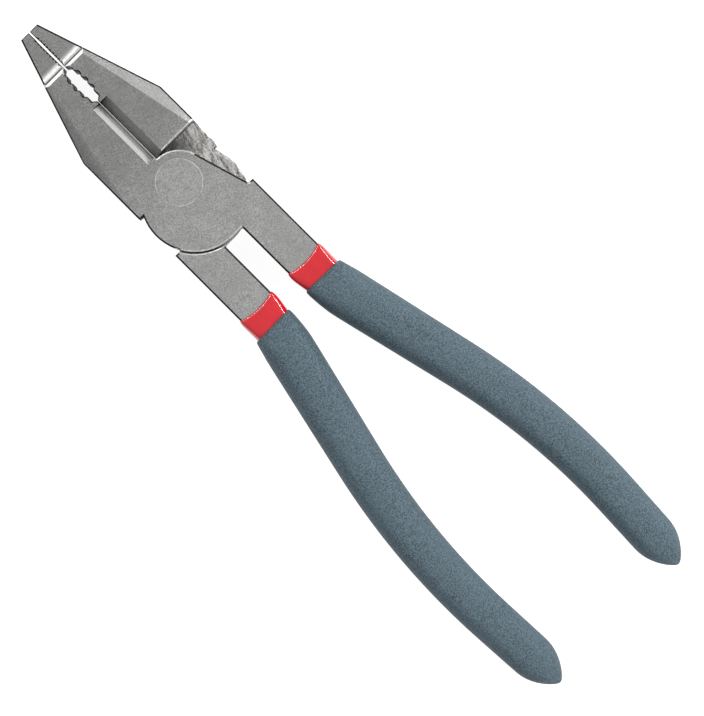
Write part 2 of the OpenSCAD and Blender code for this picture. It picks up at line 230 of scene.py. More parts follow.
def blasted_steel(settings):
    """Bead-blasted forging: an even satin grey with a fine sparkle and faint handling marks."""
    m = Nodes("blasted_steel")
    speck = m.noise(0.34 * MM, 2.0, 0.7)
    patch = m.noise(6 * MM, 3.0, 0.55)
    pits = m.cells(0.42 * MM)
    base = m.tones(speck, settings.face_colour, 0.72, 1.26, 0.36, 0.64)
    base = m.mix(m.span(patch, 0.40, 0.62, 0.0, 0.45), base, rgba(settings.face_colour, 0.84))
    base = m.mix(m.span(m.axis("Y"), -6 * MM, 16 * MM), base, JAW_DARKENING, "MULTIPLY")
    m.set(
        Base_Color=base, Metallic=0.92, Specular_Tint=GRAZING_TINT,
        Roughness=m.span(speck, 0.3, 0.7, settings.roughness - 0.05, settings.roughness + 0.08),
    )
    fine = m.bump(speck, 0.03 * MM, 0.6)
    m.set(Normal=m.bump(pits, 0.015 * MM, 0.5, fine))
    return m.material


def scratched(m, turn):
    """Fine parallel scratches, as two scales of stretched noise added up, from 0 to 1."""
    lines = m.noise(0.30 * MM, 3.0, 0.6, m.stretched((24.0, 1.0, 1.5), turn))
    fine = m.noise(0.12 * MM, 2.0, 0.5, m.stretched((20.0, 1.0, 1.5), turn))
    return m.math("ADD", m.math("MULTIPLY", lines, 0.6), m.math("MULTIPLY", fine, 0.4))


def ground_bevel(name, colour, low, high):
    """A bevel of a cutter, ground across and left matt."""
    m = Nodes(name)
    marks = scratched(m, 8)
    base = m.tones(marks, colour, low, high)
    m.set(Base_Color=base, Metallic=0.35, Roughness=m.span(marks, 0.35, 0.65, 0.42, 0.60))
    m.set(Normal=m.bump(marks, 0.02 * MM, 0.6))
    return m.material


def cutter_painted_light_steel(settings):
    """Bevel of a cutter on the side its half is forged from, made light: painted light, as on the bevel
    that faces the key lamp when seen from above.
    """
    return ground_bevel("cutter_painted_light_steel", settings.ground_colour, 1.15, 1.60)


def cutter_painted_shade_steel(settings):
    """Bevel of a cutter on the other side, made dark: painted shade, as on the bevel turned away from the
    key lamp when seen from above.
    """
    return ground_bevel("cutter_painted_shade_steel", settings.ground_colour, 0.30, 0.52)


def fillet_steel(settings):
    """Step down to the nose, with painted light: a painted highlight on the small bevel, a painted dark
    reflection line, and a ground fillet whose painted brightness fades into the blasted face.
    """
    m = Nodes("fillet_steel")
    marks = scratched(m, 90)
    along = m.axis("Y")
    bevel_end = NOSE_STEP - 0.15 * MM
    line_y = NOSE_STEP + 0.05 * MM
    # painted fade from the bright fillet to the face's grey, smoothing the steps between its facets
    painted_fade = m.span(along, NOSE_STEP + 0.6 * MM, NOSE_STEP + 2.9 * MM)
    # painted highlight on the small bevel, and a painted dark line where the fillet turns steep
    bevel = m.span(along, bevel_end - 0.03 * MM, bevel_end + 0.03 * MM, 1.0, 0.0)
    from_line = m.math("ABSOLUTE", m.math("SUBTRACT", along, line_y))
    line = m.span(from_line, 0.10 * MM, 0.26 * MM, 0.9, 0.0)
    base = m.tones(marks, settings.ground_colour, 0.62, 0.90)
    base = m.mix(painted_fade, base, rgba(settings.face_colour, 0.76))
    base = m.mix(bevel, base, rgba(settings.ground_colour, 1.5))
    base = m.mix(line, base, rgba(settings.forged_colour, 0.15))
    m.set(Base_Color=base, Metallic=0.95, Roughness=m.span(marks, 0.35, 0.65, 0.30, 0.44))
    m.set(Normal=m.bump(marks, 0.02 * MM, 0.6))
    return m.material


def forged_steel(settings):
    """Skin as it left the dies: scaly and streaked, with painted shade in the corner between boss and heel.
    """
    m = Nodes("forged_steel_skin")
    streak = m.noise(0.7 * MM, 4.0, 0.65, m.stretched((1.0, 4.5, 1.0), -18), 0.6)
    scale = m.noise(0.45 * MM, 3.0, 0.6)
    both = m.math("ADD", m.math("MULTIPLY", streak, 0.65), m.math("MULTIPLY", scale, 0.35))
    base = m.tones(both, settings.forged_colour, 0.40, 2.3, 0.40, 0.62)
    # painted shade, darkest in the corner between boss and heel, fading out away from it
    corner_x = 3.5 * MM
    aside = m.math("SUBTRACT", m.math("ABSOLUTE", m.axis("X")), corner_x)
    ahead = m.math("SUBTRACT", m.axis("Y"), JAW_SEAT)
    away = m.math("SQRT", m.math("ADD", m.math("MULTIPLY", aside, aside), m.math("MULTIPLY", ahead, ahead)))
    painted_corner_shade = m.span(away, 2.5 * MM, 8.5 * MM, 0.88, 0.0)
    base = m.mix(painted_corner_shade, base, rgba(settings.forged_colour, 0.16))
    m.set(Base_Color=base, Metallic=0.7, Roughness=m.span(both, 0.3, 0.7, 0.55, 0.34))
    m.set(Normal=m.bump(both, 0.16 * MM, 0.8))
    return m.material


def edge_steel(name, colour, low, high):
    """A rounded edge, unevenly rubbed."""
    m = Nodes(name)
    rub = m.noise(0.5 * MM, 3.0, 0.6)
    m.set(
        Base_Color=m.tones(rub, colour, low, high), Metallic=0.8, Specular_Tint=GRAZING_TINT,
        Roughness=m.span(rub, 0.3, 0.7, 0.30, 0.45),
    )
    m.set(Normal=m.bump(rub, 0.02 * MM, 0.4))
    return m.material


def painted_highlight_edge_steel(settings):
    """Edges with a painted highlight, standing in for the light their rounding catches."""
    return edge_steel("painted_highlight_edge_steel", settings.ground_colour, 0.9, 1.5)


def painted_shade_edge_steel(settings):
    """Edges of the outline, in near-black painted shade standing in for the dark that rounded edges
    reflect.
    """
    return edge_steel("painted_shade_edge_steel", settings.forged_colour, 0.03, 0.11)


def rivet_steel(settings):
    """Rivet head ground flush in one pass with the face, so it has the same blasted grey."""
    m = Nodes("rivet_steel")
    speck = m.noise(0.34 * MM, 2.0, 0.7)
    cloud = m.noise(2.2 * MM, 2.0, 0.5)
    base = m.tones(speck, settings.face_colour, 0.74, 1.28, 0.36, 0.64)
    base = m.mix(m.span(cloud, 0.4, 0.65, 0.0, 0.20), base, rgba(settings.face_colour, 1.20))
    m.set(
        Base_Color=base, Metallic=0.92, Specular_Tint=GRAZING_TINT,
        Roughness=m.span(speck, 0.3, 0.7, settings.roughness - 0.06, settings.roughness + 0.06),
    )
    m.set(Normal=m.bump(speck, 0.02 * MM, 0.5))
    return m.material


def rivet_seam_steel(settings):
    """Thin ring where the peened rivet was ground off flush, with a painted highlight in places standing in
    for the rim catching the light.
    """
    m = Nodes("rivet_seam_steel")
    fade = m.noise(5 * MM, 2.0, 0.5)
    speck = m.noise(0.3 * MM, 2.0, 0.6)
    # painted highlight, in patches along the ring
    painted_glint = m.math("MULTIPLY", m.span(fade, 0.38, 0.62), m.span(speck, 0.2, 0.6))
    base = m.mix(painted_glint, rgba(settings.face_colour), rgba(settings.ground_colour, 1.6))
    m.set(Base_Color=base, Metallic=0.8, Roughness=m.span(speck, 0.3, 0.7, 0.36, 0.48))
    m.set(Normal=m.bump(speck, 0.02 * MM, 0.5))
    return m.material


def red_vinyl(settings):
    """Dipped vinyl: deep glossy red, slightly uneven, as a dip coat dries."""
    m = Nodes("red_vinyl")
    flow = m.noise(3.2 * MM, 2.0, 0.5, m.stretched((1.0, 1.8, 1.0)))
    skin = m.noise(0.5 * MM, 2.0, 0.5)
    base = m.tones(flow, settings.vinyl_colour, 0.90, 1.10)
    m.set(
        Base_Color=base, Roughness=m.span(skin, 0.3, 0.7, 0.07, 0.14), IOR=1.50,
        Coat_Weight=1.0, Coat_Roughness=0.05, Subsurface_Weight=0.05, Subsurface_Scale=0.0012,
    )
    slow = m.bump(flow, 0.10 * MM, 0.35)
    m.set(Normal=m.bump(skin, 0.012 * MM, 0.35, slow))
    return m.material


def grey_foam(settings):
    """Blue-grey foam with a fine mottled skin of small burst cells."""
    m = Nodes("grey_foam")
    grain = settings.foam_grain
    mottle = m.noise(grain, 3.0, 0.7)
    cells = m.cells(grain * 0.8, feature="SMOOTH_F1")
    pores = m.cells(grain * 0.42)
    patch = m.noise(9 * MM, 2.0, 0.5)
    base = m.tones(mottle, settings.foam_colour, 0.50, 1.60, 0.40, 0.60)
    base = m.mix(m.span(pores, 0.0, 0.35, 0.65, 0.0), base, rgba(settings.foam_colour, 0.40))
    base = m.mix(m.span(patch, 0.35, 0.65, 0.0, 0.25), base, rgba(settings.foam_colour, 1.25))
    m.set(
        Base_Color=base, Roughness=m.span(mottle, 0.3, 0.7, 0.62, 0.82), IOR=1.40,
        Specular_IOR_Level=0.3,
    )
    lumps = m.bump(m.math("ADD", mottle, m.math("MULTIPLY", cells, 0.7)), 0.09 * MM, 0.7)
    m.set(Normal=m.bump(pores, 0.05 * MM, 0.5, lumps))
    return m.material


def pale_floor(settings):
    """Floor of opal plastic, lit softly from below, so that no dark shadow lies round the tool."""
    m = Nodes("pale_floor")
    grain = m.noise(4 * MM, 2.0, 0.5)
    base = m.mix(m.span(grain, 0.3, 0.7), rgba(settings.floor_colour, 0.99), rgba(settings.floor_colour))
    m.set(Base_Color=base, Roughness=0.9, Specular_IOR_Level=0.1)
    m.set(Emission_Color=(1.0, 1.0, 1.0, 1.0), Emission_Strength=settings.floor_glow)
    return m.material


# ---------------------------------------------------------------- modelling helpers

def select_only(obj):
    bpy.ops.object.select_all(action="DESELECT")
    obj.select_set(True)
    bpy.context.view_layer.objects.active = obj


def name_piece(obj, name):
    obj.name = name
    obj.data.name = name
    return obj


def copy_of_node(node, name):
    """A joined-up copy of a frame node's mesh, with flat areas made one face again."""
    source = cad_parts[node]
    select_only(source)
    bpy.ops.object.duplicate()
    piece = name_piece(bpy.context.view_layer.objects.active, name)
    piece.data.materials.clear()
    select_only(piece)
    bpy.ops.mesh.customdata_custom_splitnormals_clear()
    bpy.ops.object.mode_set(mode="EDIT")
    bpy.ops.mesh.select_all(action="SELECT")
    bpy.ops.mesh.remove_doubles(threshold=0.002 * MM)
    bpy.ops.mesh.dissolve_limited(angle_limit=math.radians(0.6))
    bpy.ops.object.mode_set(mode="OBJECT")
    return piece


def apply_modifier(obj, kind, name, **options):
    made = obj.modifiers.new(name, kind)
    for key, value in options.items():
        setattr(made, key, value)
    select_only(obj)
    bpy.ops.object.modifier_apply(modifier=made.name)


def edge_angles(mesh):
    """Angle between the two faces of each edge, by edge index. Flat or open edges get 0."""
    sides = {}
    for face in mesh.polygons:
        for key in face.edge_keys:
            sides.setdefault(key, []).append(face.normal)
    index = {tuple(sorted(e.vertices)): e.index for e in mesh.edges}
    return {
        index[key]: normals[0].angle(normals[1], 0.0)
        for key, normals in sides.items() if len(normals) == 2
    }


def turned_over(point):
    """The same point after the tool is turned over about its long axis."""
    return Vector((-point[0], point[1], HEAD_TOP - point[2]))


# ---------------------------------------------------------------- the handle's course

class Course:
    """Centre line of a handle, in metres. s is the way along it from the bottom of the lap, and the
    heading is its angle outward from straight down the tool."""

    def __init__(self):
        self.x = 8.475 * MM
        self.top = -19.2 * MM
        self.neck = 15.3 * MM
        self.bend_r = 68 * MM
        self.splay = math.radians(13.1)
        self.straight = 32.9 * MM
        self.toe = math.radians(3)
        self.end = 23.1 * MM
        drop = (
            self.top - END_Y - self.neck - self.bend_r * math.sin(self.splay)
            - self.straight * math.cos(self.splay) - self.end * math.cos(self.toe)
        )
        self.bow_r = drop / (math.sin(self.splay) + math.sin(self.toe))
        self.s_bend = self.neck
        self.s_straight = self.s_bend + self.bend_r * self.splay
        self.s_bow = self.s_straight + self.straight
        self.s_toe = self.s_bow + self.bow_r * (self.splay + self.toe)
        self.s_end = self.s_toe + self.end

    def heading(self, s):
        if s < self.s_bend:
            return 0.0
        if s < self.s_straight:
            return (s - self.s_bend) / self.bend_r
        if s < self.s_bow:
            return self.splay
        if s < self.s_toe:
            return self.splay - (s - self.s_bow) / self.bow_r
        return -self.toe

    def centre(self, s):
        x, y = self.x, self.top - min(s, self.s_bend)
        if s > self.s_bend:
            h = self.heading(min(s, self.s_straight - 1e-9))
            x += self.bend_r * (1 - math.cos(h))
            y -= self.bend_r * math.sin(h)
        if s > self.s_straight:
            run = min(s, self.s_bow) - self.s_straight
            x += run * math.sin(self.splay)
            y -= run * math.cos(self.splay)
        if s > self.s_bow:
            h = self.heading(min(s, self.s_toe - 1e-9))
            x += self.bow_r * (math.cos(h) - math.cos(self.splay))
            y -= self.bow_r * (math.sin(self.splay) - math.sin(h))
        if s > self.s_toe:
            run = s - self.s_toe
            x -= run * math.sin(self.toe)
            y -= run * math.cos(self.toe)
        return x, y


COURSE = Course()
LIP = 16.6 * MM                            # stations along the course
FOAM_START = 22.9 * MM
SLEEVE_END = COURSE.s_end - 5 * MM         # solid foam past this
STEEL_END = SLEEVE_END - 2.6 * MM          # solid vinyl past this
FLAT_END_Y = COURSE.top - 7 * MM           # the steel gets thinner below this


def blend(a, b, u):
    """The value between a, at 0, and b, at 1."""
    return a + (b - a) * u


def ease(u):
    """From 0 to 1 with a smooth start and stop."""
    u = min(1.0, max(0.0, u))
    return u * u * (3 - 2 * u)


def steel_half(s):
    """Half the width and half the thickness of the steel under the grip."""
    s = min(s, STEEL_END)
    wide, mid, slim = 10.55 * MM, 8.6 * MM, 7.0 * MM
    if s < COURSE.s_straight:
        width = blend(wide, mid, ease((s - LIP) / (COURSE.s_straight - LIP)))
    else:
        width = blend(mid, slim, (s - COURSE.s_straight) / (STEEL_END - COURSE.s_straight))
    y = COURSE.centre(s)[1]
    grip_y = COURSE.centre(FOAM_START)[1]
    end_y = COURSE.centre(STEEL_END)[1]
    if y > FLAT_END_Y:
        thick = 12 * MM
    elif y > grip_y:
        thick = blend(12 * MM, 10.6 * MM, (FLAT_END_Y - y) / (FLAT_END_Y - grip_y))
    else:
        thick = blend(10.6 * MM, 8 * MM, (grip_y - y) / (grip_y - end_y))
    return width / 2, thick / 2


CORNER_FILL = 0.90                         # 1 would touch the steel's sharp corner
LIP_WALL = 0.35 * MM
FULL_WALL = 1.0 * MM
FRONT_WALL = LIP_WALL + 0.45 * (FULL_WALL - LIP_WALL)
CROWN = 0.62 * MM                          # extra vinyl over the middle of each face
GRIP_LEAD = 9 * MM                         # run under the foam over which the vinyl gets its full wall
FOAM_LEAD = 6 * MM                         # run over which the foam's front edge rises
FOAM_WALL = (1.2 * MM, 2.0 * MM)           # along the edges, over the faces


def sleeve_wall(s):
    """Thickness of the vinyl, which is thin at the lip and full under the foam."""
    if s < FOAM_START:
        return blend(LIP_WALL, FRONT_WALL, ease((s - LIP) / (1.7 * MM)))
    return blend(FRONT_WALL, FULL_WALL, ease((s - FOAM_START) / GRIP_LEAD))


def end_round(s, last, run):
    """Share of the full section that is left at s, where the last run of a grip closes in."""
    if s <= last - run:
        return 1.0
    return math.sin(math.pi / 2 * max(0.0, last - s) / run) ** 0.73


def sleeve_full(s):
    """Half sizes of the sleeve. Over the faces the vinyl is thicker, which makes the section rounder."""
    w, t = steel_half(s)
    wall = sleeve_wall(s)
    crown_in = ease((s - LIP - 0.8 * MM) / (5.5 * MM))
    crown_out = 1 - ease((s - FOAM_START - 1 * MM) / GRIP_LEAD)
    return w + wall, t + wall + CROWN * crown_in * crown_out


def squareness(s):
    """Exponent of the superellipse that goes outside the corners of the steel."""
    w, t = steel_half(s)
    full_w, full_t = sleeve_full(s)
    low, high = 2.0, 60.0
    for _ in range(24):
        n = (low + high) / 2
        if (w / full_w) ** n + (t / full_t) ** n > CORNER_FILL:
            low = n
        else:
            high = n
    return high


def ring_point(s, half, square, angle, shift):
    """One point of a superellipse section that stands across the course at s."""
    c, n = math.cos(angle), math.sin(angle)
    across = math.copysign(abs(c) ** (2 / square), c)
    up = math.copysign(abs(n) ** (2 / square), n)
    at = s + shift(across)
    px, py = COURSE.centre(at)
    h = COURSE.heading(at)
    x = half[0] * across
    return Vector((px + x * math.cos(h), py + x * math.sin(h), MID + half[1] * up))


def sock(name, rings, sides):
    """A closed skin through rings, each (s, half sizes, squareness, shift). It starts as a plain capped
    cylinder whose rings are then laid along the handle. shift(across) moves a point along the course,
    by its place across the handle, from -1 to 1."""
    count = len(rings)
    bpy.ops.object.select_all(action="DESELECT")
    bpy.ops.mesh.primitive_cylinder_add(
        vertices=sides, radius=1.0, depth=count - 1, end_fill_type="TRIFAN",
        location=(0, 0, (count - 1) / 2),
    )
    piece = name_piece(bpy.context.object, name)
    bpy.ops.object.transform_apply(location=True, rotation=False, scale=False)
    bpy.ops.object.mode_set(mode="EDIT")
    bpy.ops.mesh.select_mode(type="EDGE")
    bpy.ops.mesh.select_all(action="DESELECT")
    bpy.ops.object.mode_set(mode="OBJECT")
    for edge in piece.data.edges:
        a, b = (piece.data.vertices[v].co for v in edge.vertices)
        edge.select = abs(a.z - b.z) > count - 1.5
    bpy.ops.object.mode_set(mode="EDIT")
    bpy.ops.mesh.subdivide_edgering(number_cuts=count - 2, interpolation="LINEAR", smoothness=0)
    bpy.ops.object.mode_set(mode="OBJECT")
    for vertex in piece.data.vertices:
        k = round(vertex.co.z)
        s, half, square, shift = rings[k]
        if vertex.co.xy.length < 0.5:
            px, py = COURSE.centre(s)
            vertex.co = (px, py, MID)
        else:
            angle = math.atan2(vertex.co.y, vertex.co.x)
            vertex.co = ring_point(s, half, square, angle, shift)
    return piece


def no_shift(across):
    """A ring that lies straight across the handle."""
    return 0.0


def finish_skin(piece, material, side, levels=1):
    """Closes and smooths a lofted piece, and turns it over when it belongs to the lower half."""
    if side == "lower":
        for vertex in piece.data.vertices:
            vertex.co = turned_over(vertex.co)
    piece.data.materials.append(material)
    select_only(piece)
    bpy.ops.object.mode_set(mode="EDIT")
    bpy.ops.mesh.select_all(action="SELECT")
    bpy.ops.mesh.remove_doubles(threshold=0.0005 * MM)
    bpy.ops.mesh.normals_make_consistent(inside=False)
    bpy.ops.object.mode_set(mode="OBJECT")
    if levels:
        apply_modifier(piece, "SUBSURF", "smooth", levels=levels, render_levels=levels)
    bpy.ops.object.shade_smooth()


# ---------------------------------------------------------------- the forgings

CUTTER_TOP = 28.2 * MM                     # the cutters end here, and the pipe grip starts
INNER_X = -2.6 * MM                        # cutters, pipe grip and teeth lie between here and the middle
BOSS_R = 8.25 * MM
RIVET_SEAT_R = 6.6 * MM
BEARING = 0.05 * MM                        # half the clearance between the two laps
RELIEF = 0.6 * MM                          # how far the recess lies behind the lap's face
LAP_DROP = 5.5 * MM                        # the lap's round is centred this far below the pivot
LAP_R = 13.7 * MM
CREASE_X = -12.4 * MM                      # the cheek's crease is here at the heel of the jaw,
CREASE_SLOPE = 0.209                       # and comes in by this share of the way along it
RIM_X = 11 * MM                            # the rough rim of the lower lap lies outside this,
RIM_LOW = -10.5 * MM                       # and in front of this

# material slots of a forging; the cutter bevel comes in painted light and in painted shade, and rounded
# edges come with a painted highlight and in painted shade
BLASTED, CUTTER, FORGED, PAINTED_HIGHLIGHT_EDGE, PAINTED_SHADE_EDGE, FILLET, CUTTER_PAINTED_SHADE = range(7)


# Shares of the full rounding. FAINT is for the lap's edges, the crease and the nose step.
CUTTER_SHARE = 0.08
TEETH_SHARE = 0.45
PIPE_GRIP_SHARE = 0.65
FAINT_SHARE = 0.15
TANG_SHARE = 0.25


def own_side(point, side):
    """A point as it lies on the upper half, whose jaw is on -X and whose lap is above the middle."""
    return Vector(point) if side == "upper" else turned_over(point)


def on_crease(c):
    """Whether c is on the line where a cheek leaves the flat face."""
    off_line = c.x - CREASE_X - (c.y - JAW_SEAT) * CREASE_SLOPE
    return JAW_SEAT + 1 * MM < c.y < NOSE_STEP - 1 * MM and abs(off_line) < 0.6 * MM


def edge_weight(middle, angle):
    """How much of the full rounding an edge of the forging gets, from 0 to 1."""
    if angle < math.radians(22):
        return 0.0
    x, y, z = middle
    if x > INNER_X - 0.1 * MM and y > JAW_SEAT - 0.2 * MM:
        if y < CUTTER_TOP + 0.1 * MM:
            return CUTTER_SHARE
        return TEETH_SHARE if y > NOSE_STEP + 0.5 * MM else PIPE_GRIP_SHARE
    if math.hypot(x, y) < RIVET_SEAT_R:
        return 0.0
    on_fillet = NOSE_STEP - 1.4 * MM < y < NOSE_STEP + 3.2 * MM and angle < math.radians(50)
    if abs(z - MID) < 1.2 * MM or on_crease(middle) or on_fillet:
        return FAINT_SHARE
    if y < COURSE.centre(LIP + 2 * MM)[1]:
        return TANG_SHARE
    return 1.0


def edge_finish(c):
    """Colour of a rounded edge: the crease stays blasted, those round the joint and at the nose step get a
    painted highlight, and the rest lie in painted shade.
    """
    if on_crease(c):
        return BLASTED
    heel = abs(c.y - JAW_SEAT) < 0.6 * MM and c.x < -0.3 * MM and c.z < MID
    lap = math.hypot(c.x, c.y + LAP_DROP)
    seat = c.y < -LAP_DROP - 6 * MM and abs(lap - LAP_R) < 0.8 * MM
    foot = abs(c.y - COURSE.top) < 0.6 * MM and -1 * MM < c.x < 4 * MM
    boss = c.y > 0 and abs(math.hypot(c.x, c.y) - BOSS_R) < 0.5 * MM
    step = NOSE_STEP - 1.3 * MM < c.y < NOSE_STEP + 0.3 * MM
    return PAINTED_HIGHLIGHT_EDGE if heel or seat or foot or boss or step else PAINTED_SHADE_EDGE


def finish_of_face(c, n):
    """Which finish a face of the forging has, from its middle and its normal on the upper half."""
    if c.y > NOSE_STEP - 1.2 * MM and abs(n.z) > 0.3 and abs(n.y) > 0.05:
        return FILLET
    inner = c.x > INNER_X
    # the walls of the pipe grip and the teeth are put in painted shade
    if inner and CUTTER_TOP - 0.2 * MM < c.y < TIP_Y - 0.5 * MM and abs(n.z) < 0.3:
        return PAINTED_SHADE_EDGE
    # one ground bevel in two tones: painted light where it faces up on its own side, painted shade on the
    # other side
    if inner and JAW_SEAT < c.y < CUTTER_TOP and 0.1 < abs(n.z) < 0.95:
        return CUTTER if n.z > 0 else CUTTER_PAINTED_SHADE
    if c.y < JAW_SEAT and abs(c.z - (MID + BEARING + RELIEF)) < 0.1 * MM and n.z < -0.9:
        return FORGED
    return BLASTED


def cut_grid(piece, slot, step):
    """Cuts the faces with one material into squares, so that their surface can be worked."""
    faces = [f for f in piece.data.polygons if f.material_index == slot]
    corners = [piece.data.vertices[v].co for f in faces for v in f.vertices]
    select_only(piece)
    piece.active_material_index = slot
    bpy.ops.object.mode_set(mode="EDIT")
    bpy.ops.mesh.select_mode(type="FACE")
    for axis in (0, 1):
        low = min(c[axis] for c in corners)
        high = max(c[axis] for c in corners)
        normal = [0.0, 0.0, 0.0]
        normal[axis] = 1.0
        for k in range(1, int((high - low) / step)):
            place = [0.0, 0.0, 0.0]
            place[axis] = low + k * step
            bpy.ops.mesh.select_all(action="DESELECT")
            bpy.ops.object.material_slot_select()
            bpy.ops.mesh.bisect(plane_co=place, plane_no=normal)
    bpy.ops.object.mode_set(mode="OBJECT")


def hammer_skin(piece, slot, depth):
    """Works the inside of a cut-up area up and down like a forged skin that was never ground."""
    mesh = piece.data
    inside = [True] * len(mesh.vertices)
    for face in mesh.polygons:
        if face.material_index != slot:
            for v in face.vertices:
                inside[v] = False
    for vertex in mesh.vertices:
        if inside[vertex.index]:
            c = vertex.co
            coarse = noise.noise(Vector((c.x + c.y * 0.4, c.y * 0.35, 0)) / (1.3 * MM))
            fine = noise.noise(Vector((c.x * 1.3, c.y * 0.8, 1)) / (0.55 * MM))
            vertex.co.z += depth * (0.7 * coarse + 0.3 * fine)


def close_cutters(piece):
    """Brings a cutting edge closer to the middle, so that hardly any light comes between the two."""
    gap_left = 0.2
    for vertex in piece.data.vertices:
        c = vertex.co
        if JAW_SEAT + 0.3 * MM < c.y < CUTTER_TOP - 0.05 * MM and abs(c.x) < 0.08 * MM:
            c.x *= gap_left


def rough_rim(piece):
    """Eats unevenly into the outer wall of the lower lap, which shows beside the boss."""
    high = JAW_SEAT - 0.5 * MM
    fade_run = 1.5 * MM
    cuts = 26
    select_only(piece)
    bpy.ops.object.mode_set(mode="EDIT")
    bpy.ops.mesh.select_mode(type="FACE")
    for k in range(1, cuts):
        y = blend(RIM_LOW, high, k / cuts)
        bpy.ops.mesh.select_all(action="SELECT")
        bpy.ops.mesh.bisect(plane_co=(0, y, 0), plane_no=(0, 1, 0))
    bpy.ops.object.mode_set(mode="OBJECT")
    for vertex in piece.data.vertices:
        c = vertex.co
        wall = c.x > RIM_X and RIM_LOW < c.y < high and math.hypot(c.x, c.y + LAP_DROP) > LAP_R - 1.0 * MM
        if wall and c.z < MID:
            fade = min(1.0, (c.y - RIM_LOW) / fade_run, (high - c.y) / fade_run)
            bite = 0.30 + 0.28 * noise.noise(Vector((c.y / (1.6 * MM), 0.3, 0)))
            bite += 0.18 * noise.noise(Vector((c.y / (0.6 * MM), 4.1, 0)))
            vertex.co.x -= max(0.0, bite) * fade * MM


def forged_half(side, settings, materials):
    """One forging, with its edges rounded and each of its faces given its finish."""
    node = f"{side}_half"
    piece = copy_of_node(node, f"{side}_forging")
    for material in materials:
        piece.data.materials.append(material)
    mesh = piece.data
    angles = edge_angles(mesh)
    weights = mesh.attributes.new("bevel_weight_edge", "FLOAT", "EDGE")
    for edge in mesh.edges:
        a, b = (own_side(mesh.vertices[v].co, side) for v in edge.vertices)
        weights.data[edge.index].value = edge_weight((a + b) / 2, angles.get(edge.index, 0.0))
    apply_modifier(
        piece, "BEVEL", "edges", width=settings.edge_round, segments=3, profile=0.5,
        limit_method="WEIGHT", material=PAINTED_SHADE_EDGE, use_clamp_overlap=False, loop_slide=False,
        miter_outer="MITER_SHARP", harden_normals=False,
    )
    for face in mesh.polygons:
        c = own_side(face.center, side)
        n = face.normal if side == "upper" else Vector((-face.normal.x, face.normal.y, -face.normal.z))
        if face.material_index == PAINTED_SHADE_EDGE:
            face.material_index = edge_finish(c)
        else:
            face.material_index = finish_of_face(c, n)
    close_cutters(piece)
    if side == "lower":
        rough_rim(piece)
    cut_grid(piece, FORGED, 0.45 * MM)
    hammer_skin(piece, FORGED, 0.16 * MM)
    select_only(piece)
    bpy.ops.object.shade_smooth_by_angle(angle=math.radians(32))
    apply_modifier(piece, "WEIGHTED_NORMAL", "flat faces", keep_sharp=True, weight=80)
    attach(piece, side)
    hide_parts(node)
    return piece


class PLIERS_OT_forgings(bpy.types.Operator):
    """Build both steel halves with rounded edges and their different finishes"""
    bl_idname = "pliers.forgings"
    bl_label = "Forged Halves"

    def execute(self, context):
        settings = context.scene.pliers_steel
        materials = [
            blasted_steel(settings), cutter_painted_light_steel(settings), forged_steel(settings),
            painted_highlight_edge_steel(settings), painted_shade_edge_steel(settings), fillet_steel(settings),
            cutter_painted_shade_steel(settings),
        ]
        for side in ("upper", "lower"):
            forged_half(side, settings, materials)
        return {"FINISHED"}


class PLIERS_OT_rivet(bpy.types.Operator):
    """Build the pivot rivet with a thin seam ring inset on each of its flush heads"""
    bl_idname = "pliers.rivet"
    bl_label = "Pivot Rivet"

    def execute(self, context):
        settings = context.scene.pliers_steel
        rim = 6.1 * MM
        shank = 4.0 * MM
        depth = 0.8 * MM
        seam = 0.22 * MM
        bpy.ops.object.select_all(action="DESELECT")
        bpy.ops.mesh.primitive_cylinder_add(
            vertices=96, radius=rim, depth=HEAD_TOP, location=(0, 0, MID), end_fill_type="NGON",
        )
        piece = name_piece(context.object, "rivet")
        bpy.ops.object.transform_apply(location=True, rotation=False, scale=False)
        for level in (depth, depth + rim - shank, HEAD_TOP - depth - rim + shank, HEAD_TOP - depth):
            bpy.ops.object.mode_set(mode="EDIT")
            bpy.ops.mesh.select_all(action="SELECT")
            bpy.ops.mesh.bisect(plane_co=(0, 0, level), plane_no=(0, 0, 1))
            bpy.ops.object.mode_set(mode="OBJECT")
        for vertex in piece.data.vertices:
            if depth * 1.5 < vertex.co.z < HEAD_TOP - depth * 1.5:
                vertex.co.xy *= shank / rim
        piece.data.materials.append(rivet_steel(settings))
        piece.data.materials.append(rivet_seam_steel(settings))
        flat = [f for f in piece.data.polygons if abs(f.normal.z) > 0.99 and len(f.vertices) > 8]
        heads = {f.index for f in flat}
        bpy.ops.object.mode_set(mode="EDIT")
        bpy.ops.mesh.select_mode(type="FACE")
        bpy.ops.mesh.select_all(action="DESELECT")
        bpy.ops.object.mode_set(mode="OBJECT")
        for face in piece.data.polygons:
            face.select = face.index in heads
        bpy.ops.object.mode_set(mode="EDIT")
        bpy.ops.mesh.inset(thickness=seam, depth=0.0)
        bpy.ops.object.mode_set(mode="OBJECT")
        for face in piece.data.polygons:
            rim_face = abs(face.normal.z) > 0.99 and len(face.vertices) == 4
            face.material_index = 1 if rim_face else 0
        select_only(piece)
        bpy.ops.object.shade_smooth_by_angle(angle=math.radians(30))
        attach(piece, "lower")
        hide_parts("pivot_rivet")
        return {"FINISHED"}


# ---------------------------------------------------------------- the grips

def stations(points, step):
    """Fills a rising list of stations so that no two are more than step apart."""
    out = [points[0]]
    for a, b in zip(points, points[1:]):
        n = max(1, math.ceil((b - a) / step))
        out += [a + (b - a) * i / n for i in range(1, n + 1)]
    return out


def closing(last, run, steps):
    """Stations that get closer together towards the closed end."""
    return [last - run * (1 - i / steps) ** 1.6 for i in range(1, steps + 1)]


class PLIERS_OT_sleeves(bpy.types.Operator):
    """Build the two dipped vinyl sleeves with their rolled lips"""
    bl_idname = "pliers.sleeves"
    bl_label = "Vinyl Sleeves"

    def execute(self, context):
        settings = context.scene.pliers_grip
        material = red_vinyl(settings)
        for side in ("upper", "lower"):
            sleeve(side, material)
        return {"FINISHED"}


